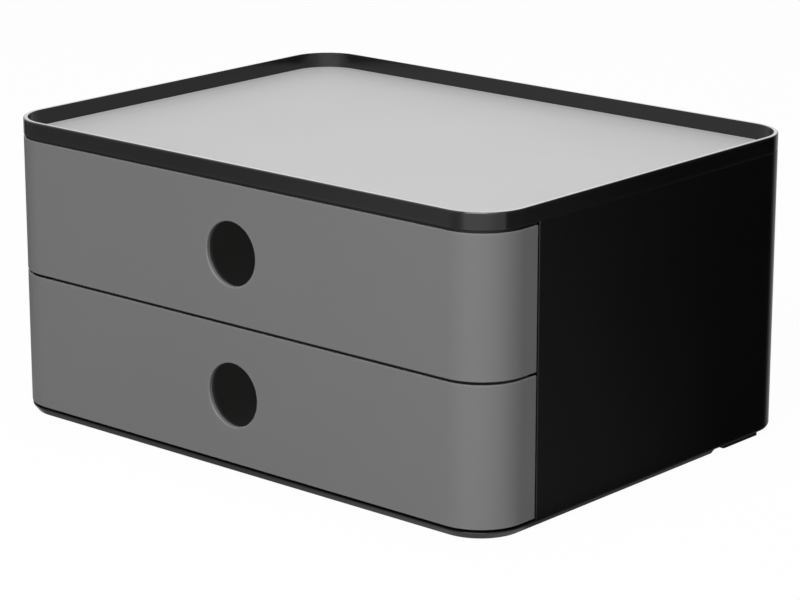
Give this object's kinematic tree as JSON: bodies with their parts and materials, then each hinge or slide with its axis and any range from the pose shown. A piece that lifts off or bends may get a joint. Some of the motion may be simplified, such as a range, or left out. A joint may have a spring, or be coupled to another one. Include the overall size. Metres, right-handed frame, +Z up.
{
  "type": "desk drawer box with tray top",
  "caption": "Small desk organizer with sliding drawers that wrap round its front corners, finger holes as pulls, and a shallow rimmed tray on top.",
  "frame": {"origin": "centre of the footprint on the desk, at the underside of the feet", "axes": "+X to the user's right, -Y towards the user, where the drawers open, +Z up"},
  "size_m": [0.26, 0.195, 0.1257],
  "materials": {
    "black_shell": "moulded, semi-gloss",
    "black_inner": "moulded, fine matt grain",
    "grey_front": "moulded, satin",
    "light_inlay": "satin sheet",
    "runner_nylon": "moulded, slightly waxy",
    "foot_rubber": "soft, matt",
    "screw_steel": "zinc plated"
  },
  "bodies": {
    "casing": {"casing_shell": "black_shell", "top_tray": "black_shell", "top_inlay": "light_inlay", "base_plate": "black_shell", "divider_shelf": "black_inner", "upper_left_runner": "runner_nylon", "upper_right_runner": "runner_nylon", "lower_left_runner": "runner_nylon", "lower_right_runner": "runner_nylon", "front_left_foot": "foot_rubber", "front_right_foot": "foot_rubber", "rear_left_foot": "foot_rubber", "rear_right_foot": "foot_rubber", "base_screws": "screw_steel", "shelf_screws": "screw_steel", "top_screws": "screw_steel", "rear_bumpers": "foot_rubber"},
    "upper_drawer": {"upper_drawer_front": "grey_front", "upper_drawer_box": "black_inner", "upper_front_screws": "screw_steel", "upper_stop_clips": "runner_nylon"},
    "lower_drawer": {"lower_drawer_front": "grey_front", "lower_drawer_box": "black_inner", "lower_front_screws": "screw_steel", "lower_stop_clips": "runner_nylon"}
  },
  "joints": [
    {"name": "upper_drawer_slide", "type": "slide", "parent": "casing", "child": "upper_drawer", "axis": [0, -1, 0], "range_m": [0, 0.115]},
    {"name": "lower_drawer_slide", "type": "slide", "parent": "casing", "child": "lower_drawer", "axis": [0, -1, 0], "range_m": [0, 0.115]}
  ]
}
